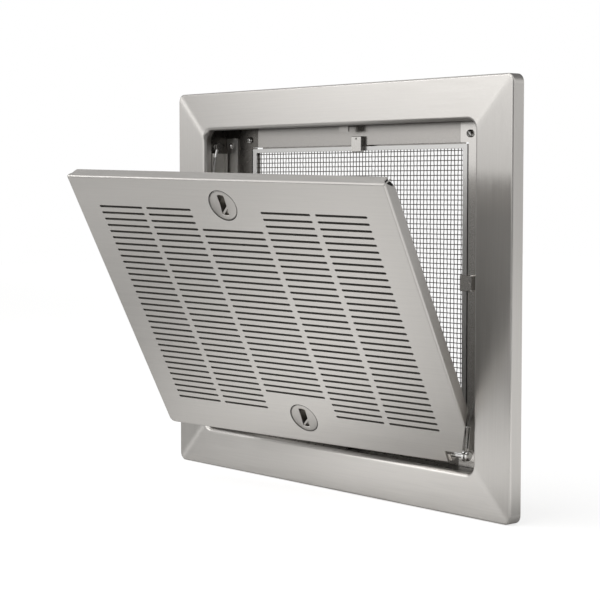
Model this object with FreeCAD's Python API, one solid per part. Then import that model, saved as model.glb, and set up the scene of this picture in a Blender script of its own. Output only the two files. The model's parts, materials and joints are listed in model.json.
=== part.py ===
import FreeCAD, Part
import math
import os

# Hinged exhaust grille for a wall opening: a pressed surround with a throat box behind it,
# a framed mesh filter held by turn buttons, and a slotted door pan with two quarter turn locks
# that hangs on two wire ropes.
# Millimetres, +X to the right, +Z up, +Y into the wall.
# The origin is the centre of the wall opening, in the plane of the wall.

# Surround
frame_width = 500.0
frame_height = 400.0
side_flange = 47.0
end_flange = 40.0
flange_stand = 13.5
sheet = 1.2
outer_corner = 8.0
opening_corner = 9.0
outer_bend = 2.0
lip_bend = 3.5
lip_depth = 9.0

# Throat box behind the surround
throat_sheet = 1.0
throat_slip = 0.1
throat_start = 5.0
throat_corner = 0.8
throat_hem = 12.0
seat_depth = 33.0

# Seat strips round the filter
strip_sheet = 1.5
strip_slip = 0.3
side_seat_width = 40.5
end_seat_width = 18.5
strip_leg = 7.8
strip_lip = 4.0
corner_head = 10.5
joint_slip = 0.1
hair = 0.01

# Filter
filter_play = 1.5
filter_depth = 6.0
side_rail = 6.0
end_rail = 4.0
rail_sheet = 1.0
mesh_recess = 1.4
mesh_wire = 0.9
mesh_columns = 22
mesh_rows = 20

# Turn buttons that hold the filter
button_width = 15.0
button_length = 15.3
button_thick = 4.0
button_gap = 0.2
button_round = 1.0
button_edge = 0.5
button_pin = 1.0
button_pin_sink = 1.5
button_pin_edge = 2.4
button_bite = 5.2
end_button_offset = 10.0
side_button_offset = 11.0
running_gap = 0.05

# Corner screws of the seat
screw_head = 3.6
screw_head_height = 3.4
screw_head_slope = 1.3
screw_shank = 2.0
screw_inset_x = 38.0
screw_inset_z = 10.5
screw_grip = 4.0

# Rails on the side walls
guide_width = 19.5
guide_start = 9.5
guide_rib = 2.8
guide_rib_width = 2.6
guide_sheet = 1.2
guide_top_gap = 24.2
guide_bottom_gap = 40.0
angle_width = 19.0
angle_sheet = 2.0
angle_end_gap = 8.0
rivet_radius = 3.4
rivet_height = 2.2
rivet_inset_x = 7.5
rivet_inset_z = 8.0

# Door pan, in the surround's opening
door_side_gap = 10.0
door_top_gap = 12.5
door_bottom_gap = 7.5
face_recess = 9.7
pan_depth = 12.5
pan_bend = 2.0
pan_corner = 6.0
side_flange_start = 46.0
notch_width = 32.0
notch_height = 14.0
taper_width = 13.0
taper_height = 45.0
flange_relief = 44.0

# Slots in the door, in five columns between its borders
slot_pitch = 7.145
slot_height = 2.4
slot_web = 5.5
centre_slot = 74.6
side_border = 29.7
top_border = 33.7
bottom_border = 37.5
short_rows_top = 3
short_rows_bottom = 3

# Filter pad behind the slots
pad_thick = 4.5
pad_border = 4.5
pad_corner = 3.0
pad_clear = 1.0

# Locks
top_lock_drop = 27.5
bottom_lock_rise = 30.4
lock_radius = 16.25
lock_wall = 1.35
lock_length = 10.0
lock_play = 0.1
lock_sink = 0.4
lock_ring_radius = 19.5
lock_ring_thick = 3.0
recess_width = 8.8
recess_length = 21.6
recess_depth = 7.0
web_thick = 2.2
web_angle = 35.0
web_sink = 1.5
web_drop = 4.3
core_floor = 1.8
stem_radius = 3.5
cam_front = 13.2
cam_thick = 2.4
cam_width = 12.0
cam_reach = 37.0
cam_corner = 2.0
cam_bolt_radius = 5.0
cam_bolt_height = 2.2

# Catches for the locks
catch_width = 14.0
catch_sheet = 1.5
catch_clear = 0.4
top_catch_drop = 6.5
bottom_catch_rise = 6.0
catch_foot = 10.0

# Pins and wire ropes
pin_inset = 16.0
pin_depth = 7.0
pin_rise = 5.2
pin_radius = 2.5
pin_head_radius = 4.5
pin_head_thick = 3.0
pin_head_slope = 1.2
pin_head_gap = 1.3
pin_block_outer = 28.0
pin_block_inner = 40.0
pin_block_depth = 9.6
pin_block_height = 8.4
pin_block_round = 1.2
eye_radius = 5.3
eye_thick = 2.0
eye_tongue = 5.6
shank_start = 7.0
shank_length = 20.0
shank_radius = 2.8
shank_rim = 0.5
wire_radius = 0.8
wire_slip = 0.1
stud_radius = 2.0
stud_head_radius = 3.6
stud_head_thick = 1.4
stud_nut_across = 7.0
stud_nut_thick = 2.4
stud_depth = 14.2
stud_drop = 17.0
loop_radius = 4.2
loop_thick = 1.6
loop_gap = 3.4
sleeve_start = 4.0
sleeve_length = 9.0
sleeve_radius = 1.6

# Where the door hangs in the stored pose
door_swing = 11.23
door_tilt = 30.5
swing_lean = 6.84

# Places worked out from the sizes above
half_width = frame_width / 2
half_height = frame_height / 2
open_x = half_width - side_flange
open_z = half_height - end_flange
front = -flange_stand
throat_x = open_x + sheet + throat_slip
throat_z = open_z + sheet + throat_slip
seat_front = front + seat_depth
seat_back = seat_front + strip_sheet
seat_x = open_x - side_seat_width
seat_z = open_z - end_seat_width
filter_x = seat_x - filter_play
filter_z = seat_z - filter_play
mesh_x = filter_x - side_rail
mesh_z = filter_z - end_rail
face_front = front + face_recess
face_back = face_front + sheet
pan_back = face_front + pan_depth
door_x = open_x - door_side_gap
door_low = -open_z + door_bottom_gap
door_high = open_z - door_top_gap
top_lock_z = door_high - top_lock_drop
bottom_lock_z = door_low + bottom_lock_rise
slot_top = door_high - top_border
slot_rows = int((slot_top - door_low - bottom_border) / slot_pitch) + 1
slot_bottom = slot_top - (slot_rows - 1) * slot_pitch
side_slot = (door_x - side_border - centre_slot / 2) / 2 - slot_web
pin_y = face_front + pin_depth
pin_z = door_low + pin_rise
pin_x = door_x - pin_inset

x_axis = FreeCAD.Vector(1, 0, 0)
y_axis = FreeCAD.Vector(0, 1, 0)
z_axis = FreeCAD.Vector(0, 0, 1)

os.makedirs("parts", exist_ok=True)


def save(name, shape):
    """Write one piece and report its solids."""
    shape.exportStep("parts/" + name + ".step")
    print(name, len(shape.Solids), round(shape.Volume, 1))


def block(x0, x1, y0, y1, z0, z1):
    """A plain block between two corners."""
    return Part.makeBox(x1 - x0, y1 - y0, z1 - z0, FreeCAD.Vector(x0, y0, z0))


def bar(start, direction, radius, length):
    """A round bar from a point along a direction."""
    return Part.makeCylinder(radius, length, start, direction)


def mirror_x(shape):
    return shape.mirror(FreeCAD.Vector(0, 0, 0), x_axis)


def mirror_z(shape):
    return shape.mirror(FreeCAD.Vector(0, 0, 0), z_axis)


def rounded_face(x0, x1, z0, z1, radii, y):
    """A rectangle in the plane y, its corners rounded from lower left, anticlockwise."""
    signs = [(-1, -1), (1, -1), (1, 1), (-1, 1)]
    corners = [(x0, z0), (x1, z0), (x1, z1), (x0, z1)]
    edges = []
    ends = []
    for (sx, sz), (cx, cz), radius in zip(signs, corners, radii):
        along_x = FreeCAD.Vector(cx - sx * radius, y, cz)
        along_z = FreeCAD.Vector(cx, y, cz - sz * radius)
        reach = radius * (1 - math.sqrt(0.5))
        middle = FreeCAD.Vector(cx - sx * reach, y, cz - sz * reach)
        first, last = (along_z, along_x) if sx * sz > 0 else (along_x, along_z)
        ends.append((first, last))
        edges.append(Part.Arc(first, middle, last).toShape())
    loop = []
    for i in range(4):
        loop.append(edges[i])
        loop.append(Part.makeLine(ends[i][1], ends[(i + 1) % 4][0]))
    return Part.Face(Part.Wire(loop))


def rounded_slab(half_x, half_z, radius, y0, y1):
    """A slab with rounded corners, centred on the origin, from y0 to y1."""
    face = rounded_face(-half_x, half_x, -half_z, half_z, [radius] * 4, y0)
    return face.extrude(FreeCAD.Vector(0, y1 - y0, 0))


def edges_at(shape, y, inside_x=None):
    """The edges that lie in the plane y, or only those within a half width."""
    found = []
    for edge in shape.Edges:
        box = edge.BoundBox
        if abs(box.YMin - y) > 1e-4 or abs(box.YMax - y) > 1e-4:
            continue
        reach_x = max(abs(box.XMin), abs(box.XMax))
        if inside_x is not None and reach_x > inside_x + 1e-4:
            continue
        found.append(edge)
    return found


def hexagon(y, z, radius):
    """Six corners about a point, as pairs."""
    angles = [math.radians(a) for a in range(0, 360, 60)]
    return [(y + radius * math.cos(a), z + radius * math.sin(a)) for a in angles]


def polygon_prism(points, direction):
    """A prism from a closed outline of points."""
    outline = [FreeCAD.Vector(*p) for p in points]
    return Part.Face(Part.makePolygon(outline + outline[:1])).extrude(direction)


def one_solid(shape):
    """Merge split faces and return the single solid."""
    clean = shape.removeSplitter()
    return clean.Solids[0] if len(clean.Solids) == 1 else clean


def tube(points, radius):
    """A wire rope: straight runs joined by arcs as large as the runs allow."""
    corners = [FreeCAD.Vector(*p) for p in points]
    edges = []
    start = corners[0]
    for before, here, after in zip(corners, corners[1:], corners[2:]):
        come = here - before
        leave = after - here
        shorter = min(come.Length, leave.Length)
        turn = come.getAngle(leave)
        bend = 0.45 * shorter / math.tan(turn / 2)
        reach = bend * math.tan(turn / 2)
        come.normalize()
        leave.normalize()
        first = here - come * reach
        last = here + leave * reach
        inward = leave - come
        inward.normalize()
        middle = here + inward * (bend / math.cos(turn / 2) - bend)
        edges.append(Part.makeLine(start, first))
        edges.append(Part.Arc(first, middle, last).toShape())
        print("wire bend radius", round(bend, 1))
        start = last
    edges.append(Part.makeLine(start, corners[-1]))
    path = Part.Wire(edges)
    ring = Part.Wire(Part.makeCircle(radius, corners[0], corners[1] - corners[0]))
    return path.makePipeShell([ring], True, False)


# Surround: one pressed sheet with a turned back rim and a turned in lip
def pressed_surround():
    skin = rounded_slab(half_width, half_height, outer_corner, front, 0)
    skin = skin.makeFillet(outer_bend, edges_at(skin, front))
    hollow_front = front + sheet
    hollow = rounded_slab(half_width - sheet, half_height - sheet, outer_corner - sheet, hollow_front, 1)
    hollow = hollow.makeFillet(outer_bend - sheet, edges_at(hollow, hollow_front))
    skin = skin.cut(hollow)
    lip = rounded_slab(open_x + sheet, open_z + sheet, opening_corner + sheet, front, front + lip_depth)
    body = skin.fuse(lip).removeSplitter()
    body = body.makeFillet(lip_bend - sheet, edges_at(body, hollow_front, inside_x=open_x + sheet))
    body = body.cut(rounded_slab(open_x, open_z, opening_corner, front - 1, 1))
    body = body.makeFillet(lip_bend, edges_at(body, front, inside_x=open_x))
    return one_solid(body)


# Throat: a welded box that goes into the wall, with a turned in hem for the seat strips
def throat_box():
    start = front + throat_start
    end = seat_back + throat_sheet
    wall = throat_sheet
    outer = rounded_slab(throat_x + wall, throat_z + wall, throat_corner + wall, start, end)
    inner = rounded_slab(throat_x, throat_z, throat_corner, start - 1, seat_back)
    hem_hole = rounded_slab(throat_x - throat_hem, throat_z - throat_hem, throat_corner, start, end + 1)
    box = outer.cut(inner).cut(hem_hole)
    return one_solid(box.cut(seat_screws()))


# Seat strips: folded profiles that frame the filter
def folded_profile(edge, outer):
    """Section of a strip: face, leg back along the filter, and a stop lip, as pairs of reach and depth."""
    back = seat_front + strip_leg
    return [(outer, seat_front), (edge, seat_front), (edge, back - strip_sheet),
            (edge - strip_lip, back - strip_sheet), (edge - strip_lip, back),
            (edge + strip_sheet, back), (edge + strip_sheet, seat_back), (outer, seat_back)]


def side_seat_strip():
    """Right side strip, with wider heads at its ends that take the corner screws."""
    outer = throat_x - strip_slip
    top = throat_z - strip_slip
    section = [(x, y, -top) for x, y in folded_profile(seat_x, outer)]
    strip = polygon_prism(section, FreeCAD.Vector(0, 0, 2 * top))
    far = seat_front + strip_leg + 1
    trim = block(seat_x - strip_lip - 1, seat_x + strip_sheet + 1, seat_back, far, seat_z, top + 1)
    trim = trim.fuse(block(seat_x - strip_lip - 1, seat_x, seat_back, far, seat_z - strip_lip, top + 1))
    strip = strip.cut(trim).cut(mirror_z(trim))
    head = block(seat_x - corner_head, seat_x, seat_front, seat_back, seat_z + joint_slip, top)
    return one_solid(strip.fuse(head).fuse(mirror_z(head)))


def end_seat_strip():
    """Top strip, between the heads of the side strips."""
    reach = seat_x - corner_head - joint_slip
    outer = throat_z - strip_slip
    section = [(-reach, y, z) for z, y in folded_profile(seat_z, outer)]
    return polygon_prism(section, FreeCAD.Vector(2 * reach, 0, 0))


def corner_places():
    x = open_x - screw_inset_x
    z = open_z - screw_inset_z
    return [(sx * x, sz * z) for sx in (-1, 1) for sz in (-1, 1)]


def seat_screws():
    """Pan head screws through the seat's corners."""
    screws = []
    for x, z in corner_places():
        seat = FreeCAD.Vector(x, seat_front, z)
        head = Part.makeCylinder(screw_head, screw_head_height, seat, -y_axis)
        head = head.makeChamfer(screw_head_slope, edges_at(head, seat_front - screw_head_height))
        shank = bar(seat, y_axis, screw_shank, screw_grip)
        screws.append(one_solid(head.fuse(shank)))
    return Part.makeCompound(screws)


# Filter: four mitred channel rails that hold a woven mesh, open behind
def rail_section(width):
    """A channel open towards the mesh, as pairs of distance from the outer edge and depth."""
    back = seat_front + filter_depth
    return [(0, seat_front), (width, seat_front), (width, seat_front + rail_sheet),
            (rail_sheet, seat_front + rail_sheet), (rail_sheet, back - rail_sheet),
            (width, back - rail_sheet), (width, back), (0, back)]


def mitre_wedge(half_x, half_z):
    """The region that the right hand rail keeps, between the two corner mitres."""
    run = side_rail + 1
    rise = end_rail * run / side_rail
    over = end_rail / side_rail
    y = seat_front - 1
    return polygon_prism([(half_x + 1, y, -half_z - over), (half_x + 1, y, half_z + over),
                          (half_x - run, y, half_z - rise), (half_x - run, y, rise - half_z)],
                         FreeCAD.Vector(0, filter_depth + 2, 0))


def side_filter_rail():
    section = [(filter_x - d, y, -filter_z) for d, y in rail_section(side_rail)]
    rail = polygon_prism(section, FreeCAD.Vector(0, 0, 2 * filter_z))
    return one_solid(rail.common(mitre_wedge(filter_x, filter_z)))


def end_filter_rail():
    section = [(-filter_x, y, filter_z - d) for d, y in rail_section(end_rail)]
    rail = polygon_prism(section, FreeCAD.Vector(2 * filter_x, 0, 0))
    wedge = mitre_wedge(filter_x, filter_z)
    return one_solid(rail.cut(wedge).cut(mirror_x(wedge)))


def filter_mesh():
    """Face of the filter: every third wire of the weave, uprights in front of cross wires."""
    half_x = filter_x - rail_sheet
    half_z = filter_z - rail_sheet
    half = mesh_wire / 2
    y0 = seat_front + rail_sheet + mesh_recess
    y1 = y0 + mesh_wire
    wires = []
    for i in range(1, mesh_columns):
        x = mesh_x * (2 * i / mesh_columns - 1)
        wires.append(block(x - half, x + half, y0, y1, -half_z, half_z))
    for k in range(1, mesh_rows):
        z = mesh_z * (2 * k / mesh_rows - 1)
        wires.append(block(-half_x, half_x, y1, y1 + mesh_wire, z - half, z + half))
    return Part.makeCompound(wires)


# Turn buttons on the seat strips
def button_places():
    """Name, pivot point and turn of each button; turned none it points down to the filter."""
    side = filter_x - button_bite + button_length - button_pin_edge
    end = filter_z - button_bite + button_length - button_pin_edge
    return [("top", end_button_offset, end, 0), ("bottom", end_button_offset, -end, 180),
            ("right", side, side_button_offset, 90), ("left", -side, side_button_offset, 270)]


def turn_button(x, z, turn):
    back = seat_front - button_gap
    face = rounded_face(-button_width / 2, button_width / 2, button_pin_edge - button_length, button_pin_edge,
                        [button_round] * 4, back - button_thick)
    button = face.extrude(FreeCAD.Vector(0, button_thick, 0))
    button = button.makeChamfer(button_edge, edges_at(button, back - button_thick))
    hole = bar(FreeCAD.Vector(0, back + 1, 0), -y_axis, button_pin + running_gap, button_thick + 2)
    button = button.cut(hole)
    button.rotate(FreeCAD.Vector(0, 0, 0), y_axis, turn)
    button.translate(FreeCAD.Vector(x, 0, z))
    return button


def button_pins():
    """Pins on which the turn buttons turn, riveted into the seat strips and sunk in the buttons."""
    length = strip_sheet + button_gap + button_thick - button_pin_sink
    return Part.makeCompound([bar(FreeCAD.Vector(x, seat_back, z), -y_axis, button_pin, length)
                              for name, x, z, turn in button_places()])


# Guide channels and angle plates at the side walls
def guide_channel():
    """Right hand channel: base on the wall with two ribs, beside the wire rope."""
    y0 = front + guide_start
    y1 = y0 + guide_width
    base = throat_x - guide_sheet
    tip = base - guide_rib
    rib = guide_rib_width
    section = [(throat_x, y0), (throat_x, y1), (tip, y1), (tip, y1 - rib), (base, y1 - rib),
               (base, y0 + rib), (tip, y0 + rib), (tip, y0)]
    low = -open_z + guide_bottom_gap
    high = open_z - guide_top_gap
    return polygon_prism([(x, y, low) for x, y in section], FreeCAD.Vector(0, 0, high - low))


def angle_plate():
    """Right hand plate on the seat strip, against the side wall."""
    outer = throat_x - strip_slip
    top = open_z - angle_end_gap
    face = rounded_face(outer - angle_width, outer, -top, top, [angle_sheet] * 4, seat_front - angle_sheet)
    return face.extrude(FreeCAD.Vector(0, angle_sheet, 0)).cut(angle_rivets())


def angle_rivets():
    """Domed rivets at the ends of both angle plates."""
    rivets = []
    outer = throat_x - strip_slip
    for sx in (-1, 1):
        for sz in (-1, 1):
            x = sx * (outer - rivet_inset_x)
            z = sz * (open_z - angle_end_gap - rivet_inset_z)
            seat = FreeCAD.Vector(x, seat_front - angle_sheet, z)
            ball = (rivet_radius ** 2 + rivet_height ** 2) / (2 * rivet_height)
            dome = Part.makeSphere(ball, seat + y_axis * (ball - rivet_height))
            dome = dome.common(bar(seat, -y_axis, rivet_radius + 1, rivet_height + 1))
            shank = bar(seat, y_axis, rivet_radius / 2, angle_sheet)
            rivets.append(one_solid(dome.fuse(shank)))
    return Part.makeCompound(rivets)


# Catches that the lock cams turn behind
def catch(drop):
    """Top catch: a foot on the throat's wall and a lip in front of the cam."""
    back = face_front + cam_front - catch_clear
    lip = back - catch_sheet
    wall = throat_z
    section = [(lip, wall), (lip, wall - drop), (back, wall - drop), (back, wall - catch_sheet),
               (back + catch_foot, wall - catch_sheet), (back + catch_foot, wall)]
    return polygon_prism([(-catch_width / 2, y, z) for y, z in section], FreeCAD.Vector(catch_width, 0, 0))


# Door: one folded pan with open mitred corners, made in its closed place
def slot_loop(x0, x1, z):
    """Outline of one slot whose ends are rounded by three short chords."""
    half = slot_height / 2
    points = []
    for centre, side in ((x1 - half, half), (x0 + half, -half)):
        for angle in (-90, -30, 30, 90):
            a = math.radians(angle)
            points.append(FreeCAD.Vector(centre + side * math.cos(a), face_front, z + side * math.sin(a)))
    return Part.makePolygon(points + points[:1])


def slot_columns():
    """First and last x of each column of slots, and whether it is the short one."""
    c = centre_slot / 2
    inner = c + slot_web
    outer = inner + side_slot + slot_web
    right = [(inner, inner + side_slot, False), (outer, outer + side_slot, False)]
    left = [(-x1, -x0, short) for x0, x1, short in right]
    return left + [(-c, c, True)] + right


def slot_cuts():
    """Every slot and both lock holes, as tools that go right through the face."""
    loops = []
    for x0, x1, short in slot_columns():
        rows = range(short_rows_top, slot_rows - short_rows_bottom) if short else range(slot_rows)
        for row in rows:
            loops.append(slot_loop(x0, x1, slot_top - row * slot_pitch))
    for lock_z in (top_lock_z, bottom_lock_z):
        centre = FreeCAD.Vector(0, face_front, lock_z)
        loops.append(Part.Wire(Part.makeCircle(lock_radius, centre, y_axis)))
    tools = []
    for loop in loops:
        tool = Part.Face(loop).extrude(FreeCAD.Vector(0, 3 * sheet, 0))
        tool.translate(FreeCAD.Vector(0, -sheet, 0))
        tools.append(tool)
    return tools


def corner_cut():
    """What is cut away at the lower right corner: the notch and the taper above it."""
    far = door_x + 1
    return polygon_prism([(door_x - notch_width, face_front - 1, door_low - 1),
                          (far, face_front - 1, door_low - 1),
                          (far, face_front - 1, door_low + taper_height),
                          (door_x, face_front - 1, door_low + taper_height),
                          (door_x - taper_width, face_front - 1, door_low + notch_height),
                          (door_x - notch_width, face_front - 1, door_low + notch_height)],
                         FreeCAD.Vector(0, pan_depth + 2, 0))


def flange_trims():
    """Tools that mitre the ends of the flanges and clear them beside the pins."""
    root = face_front + pan_bend
    far = pan_back + 1
    run = far - root
    rise = z_axis * (sheet + 1)
    tools = []
    for side in (-1, 1):
        x = side * door_x
        across = x_axis * side * (sheet + 1)
        points = [(x, root), (x - side * run, far), (x + side, far), (x + side, root)]
        tools.append(polygon_prism([(px, y, door_high - sheet) for px, y in points], rise))
        z = door_high
        points = [(z, root), (z - run, far), (z + 1, far), (z + 1, root)]
        tools.append(polygon_prism([(x - side * sheet, y, pz) for pz, y in points], across))
        inner = x - side * flange_relief
        points = [(inner, root), (inner - side * run, far), (x + side, far), (x + side, root)]
        tools.append(polygon_prism([(px, y, door_low - 1) for px, y in points], rise))
        z = door_low + (side_flange_start if side > 0 else pan_corner)
        points = [(z, root), (z + run, far), (door_low - 1, far), (door_low - 1, root)]
        tools.append(polygon_prism([(x - side * sheet, y, pz) for pz, y in points], across))
    return tools


def door_panel():
    """The pan: a shell with bent edges, then its mitres, slots, holes and cut corner."""
    radii = [pan_corner, pan_corner, pan_bend, pan_bend]
    outline = rounded_face(-door_x, door_x, door_low, door_high, radii, face_front)
    body = outline.extrude(FreeCAD.Vector(0, pan_depth, 0))
    body = body.makeFillet(pan_bend, edges_at(body, face_front))
    inner_radii = [r - sheet for r in radii]
    inner_x = door_x - sheet
    hollow = rounded_face(-inner_x, inner_x, door_low + sheet, door_high - sheet, inner_radii, face_back)
    hollow = hollow.extrude(FreeCAD.Vector(0, pan_depth, 0))
    hollow = hollow.makeFillet((pan_bend - sheet) * 0.95, edges_at(hollow, face_back))
    body = body.cut(hollow)
    body = body.cut(Part.makeCompound(flange_trims())).cut(corner_cut())
    return one_solid(body.cut(Part.makeCompound(slot_cuts())))


def door_filter():
    """Dark pad bonded to the back of the face, behind the slots and cleared round the ring nuts."""
    half = door_x - side_border + pad_border
    low = slot_bottom - pad_border
    pad = rounded_face(-half, half, low, slot_top + pad_border, [pad_corner] * 4, face_back)
    pad = pad.extrude(FreeCAD.Vector(0, pad_thick, 0))
    for lock_z in (top_lock_z, bottom_lock_z):
        centre = FreeCAD.Vector(0, face_back - 1, lock_z)
        pad = pad.cut(bar(centre, y_axis, lock_ring_radius + pad_clear, pad_thick + 2))
    return one_solid(pad)


# Locks: housing welded into the face, turning core, ring nut and cam
def lock_housing(z):
    centre = FreeCAD.Vector(0, face_front, z)
    shell = bar(centre, y_axis, lock_radius, lock_length)
    return shell.cut(bar(centre - y_axis, y_axis, lock_radius - lock_wall, lock_length + 2))


def lock_ring(z):
    """Ring nut behind the face, on the housing."""
    centre = FreeCAD.Vector(0, face_back, z)
    ring = bar(centre, y_axis, lock_ring_radius, lock_ring_thick)
    return ring.cut(bar(centre - y_axis, y_axis, lock_radius, lock_ring_thick + 2))


def lock_core(z):
    """Turning core with a long recess and a slanted web for the key."""
    start = face_front + lock_sink
    centre = FreeCAD.Vector(0, start, z)
    radius = lock_radius - lock_wall - lock_play
    body = bar(centre, y_axis, radius, recess_depth + core_floor)
    half = recess_width / 2
    length = recess_length / 2
    recess = rounded_face(-half, half, z - length, z + length, [half - hair] * 4, start - 1)
    recess = recess.extrude(FreeCAD.Vector(0, recess_depth + 1, 0))
    web = block(-recess_width, recess_width, start + web_sink, start + recess_depth,
                z - web_thick / 2, z + web_thick / 2)
    web.rotate(FreeCAD.Vector(0, 0, z), y_axis, web_angle)
    web.translate(FreeCAD.Vector(0, 0, -web_drop))
    body = body.cut(recess.cut(web))
    stem_length = face_front + cam_front + cam_thick - start - recess_depth - core_floor
    stem = bar(FreeCAD.Vector(0, start + recess_depth + core_floor, z), y_axis, stem_radius, stem_length)
    return one_solid(body.fuse(stem))


def lock_cam(z):
    """Cam that points to the right while the lock is open."""
    y0 = face_front + cam_front
    tip = cam_reach - cam_width / 2
    face = rounded_face(-cam_width / 2, cam_reach, z - cam_width / 2, z + cam_width / 2,
                        [cam_width / 2 - hair, cam_corner, cam_corner, cam_width / 2 - hair], y0)
    cam = face.extrude(FreeCAD.Vector(0, cam_thick, 0))
    slope = polygon_prism([(tip, y0, z - cam_width), (cam_reach + 1, y0 + cam_thick / 2, z - cam_width),
                           (cam_reach + 1, y0 - 1, z - cam_width), (tip, y0 - 1, z - cam_width)],
                          FreeCAD.Vector(0, 0, 2 * cam_width))
    cam = cam.cut(slope)
    return one_solid(cam.cut(bar(FreeCAD.Vector(0, y0 - 1, z), y_axis, stem_radius, cam_thick + 2)))


def cam_bolt(z):
    """Hexagon head that holds the cam on the core's stem."""
    y0 = face_front + cam_front + cam_thick
    points = [(x, y0, pz) for x, pz in hexagon(0, z, cam_bolt_radius)]
    return polygon_prism(points, FreeCAD.Vector(0, cam_bolt_height, 0))


# Pins at the door's lower corners
def hinge_pin():
    """Right hand pin: shank, and the head that keeps the wire's eye on it."""
    inner = door_x - pin_block_inner + 2
    outer = pin_x + eye_thick / 2 + pin_head_gap
    shank = bar(FreeCAD.Vector(inner, pin_y, pin_z), x_axis, pin_radius, outer - inner)
    head = bar(FreeCAD.Vector(outer, pin_y, pin_z), x_axis, pin_head_radius, pin_head_thick)
    rim = [e for e in head.Edges if abs(e.BoundBox.XMin - outer - pin_head_thick) < 1e-4]
    head = head.makeChamfer(pin_head_slope, rim)
    return one_solid(shank.fuse(head))


def pin_block():
    """Right hand block on the back of the face that carries the pin."""
    x0 = door_x - pin_block_inner
    x1 = door_x - pin_block_outer
    half = pin_block_height / 2
    body = block(x0, x1, face_back, face_back + pin_block_depth, pin_z - half, pin_z + half)
    back = face_back + pin_block_depth
    seat_edge = [e for e in body.Edges if e.BoundBox.XLength > 1 and e.BoundBox.YMax < face_back + 1e-4
                 and e.BoundBox.ZMax < pin_z]
    body = body.makeChamfer(pin_block_round, seat_edge)
    rounded = [e for e in body.Edges if e.BoundBox.XLength > 1 and e.BoundBox.YMin > back - 1e-4]
    return one_solid(body.makeFillet(pin_block_round, rounded).cut(hinge_pin()))


def lower_terminal(place, turn):
    """Swaged eye of a wire rope: eye on the pin, tongue and shank, turned and put in place."""
    eye = bar(FreeCAD.Vector(-eye_thick / 2, 0, 0), x_axis, eye_radius, eye_thick)
    tongue = block(-eye_thick / 2, eye_thick / 2, -eye_tongue / 2, eye_tongue / 2, 0, shank_start + 1)
    shank = bar(FreeCAD.Vector(0, 0, shank_start), z_axis, shank_radius, shank_length)
    ends = [e for e in shank.Edges if e.BoundBox.ZLength < 1e-4]
    shank = shank.makeChamfer(shank_rim, ends)
    hole = bar(FreeCAD.Vector(-eye_thick, 0, 0), x_axis, pin_radius + running_gap, 2 * eye_thick)
    body = one_solid(eye.fuse(tongue).fuse(shank).cut(hole))
    body.Placement = FreeCAD.Placement(place, turn)
    return body


# Anchors of the wire ropes high on the side walls
anchor_z = open_z - stud_drop
anchor_y = front + stud_depth
loop_x = throat_x - stud_nut_thick - loop_gap


def anchor_stud():
    """Right hand stud with its nut against the wall and a head that keeps the loop."""
    wall = FreeCAD.Vector(throat_x, anchor_y, anchor_z)
    reach = stud_nut_thick + loop_gap + loop_thick
    shank = bar(wall, -x_axis, stud_radius, reach)
    head = bar(wall - x_axis * reach, -x_axis, stud_head_radius, stud_head_thick)
    radius = stud_nut_across / math.sqrt(3)
    points = [(throat_x, y, z) for y, z in hexagon(anchor_y, anchor_z, radius)]
    nut = polygon_prism(points, FreeCAD.Vector(-stud_nut_thick, 0, 0))
    return one_solid(shank.fuse(head).fuse(nut))


def upper_loop(place, turn):
    """Upper end of a wire rope: a flat eye on the stud and a sleeve along the rope."""
    eye = bar(FreeCAD.Vector(-loop_thick / 2, 0, 0), x_axis, loop_radius, loop_thick)
    sleeve = bar(FreeCAD.Vector(0, 0, -sleeve_start + 1), -z_axis, sleeve_radius, sleeve_length)
    hole = bar(FreeCAD.Vector(-loop_thick, 0, 0), x_axis, stud_radius + running_gap, 2 * loop_thick)
    body = one_solid(eye.fuse(sleeve).cut(hole))
    body.Placement = FreeCAD.Placement(place, turn)
    return body


def turn_on_stud(direction):
    """Turn about the stud that points a loop's sleeve along the rope."""
    return FreeCAD.Rotation(x_axis, math.degrees(math.atan2(direction.y, -direction.z)))


# Stored pose of the door: tilted about its pins and swung about the right hand wire
pin_right = FreeCAD.Vector(pin_x, pin_y, pin_z)
pin_left = FreeCAD.Vector(-pin_x, pin_y, pin_z)
lean = math.radians(swing_lean)
swing_axis = FreeCAD.Vector(0, math.sin(lean), math.cos(lean))
swing_turn = FreeCAD.Rotation(swing_axis, door_swing)
tilt_turn = FreeCAD.Rotation(x_axis, door_tilt)


def turn_about(point, rotation):
    return FreeCAD.Placement(point - rotation.multVec(point), rotation)


swung = turn_about(pin_right, swing_turn)
hung = turn_about(pin_right, swing_turn.multiply(tilt_turn))


def hang(shape):
    """Move a piece of the closed door to the stored pose."""
    moved = shape.copy()
    moved.Placement = hung.multiply(moved.Placement)
    return moved


# Build every piece
save("surround_frame", pressed_surround())
save("throat_box", throat_box())
screws = seat_screws()
pins = button_pins()
side_strip = side_seat_strip()
end_strip = end_seat_strip()
save("seat_strip_right", side_strip.cut(screws).cut(pins))
save("seat_strip_left", mirror_x(side_strip).cut(screws).cut(pins))
save("seat_strip_top", end_strip.cut(pins))
save("seat_strip_bottom", mirror_z(end_strip).cut(pins))
save("seat_screws", screws)
side_bar = side_filter_rail()
end_bar = end_filter_rail()
save("filter_rail_right", side_bar)
save("filter_rail_left", mirror_x(side_bar))
save("filter_rail_top", end_bar)
save("filter_rail_bottom", mirror_z(end_bar))
save("filter_mesh", filter_mesh())
save("button_pins", pins)
for name, x, z, turn in button_places():
    save("turn_button_" + name, turn_button(x, z, turn))
save("guide_channel_right", guide_channel())
save("guide_channel_left", mirror_x(guide_channel()))
save("angle_plate_right", angle_plate())
save("angle_plate_left", mirror_x(angle_plate()))
save("angle_rivets", angle_rivets())
save("catch_top", catch(top_catch_drop))
save("catch_bottom", mirror_z(catch(bottom_catch_rise)))

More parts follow.
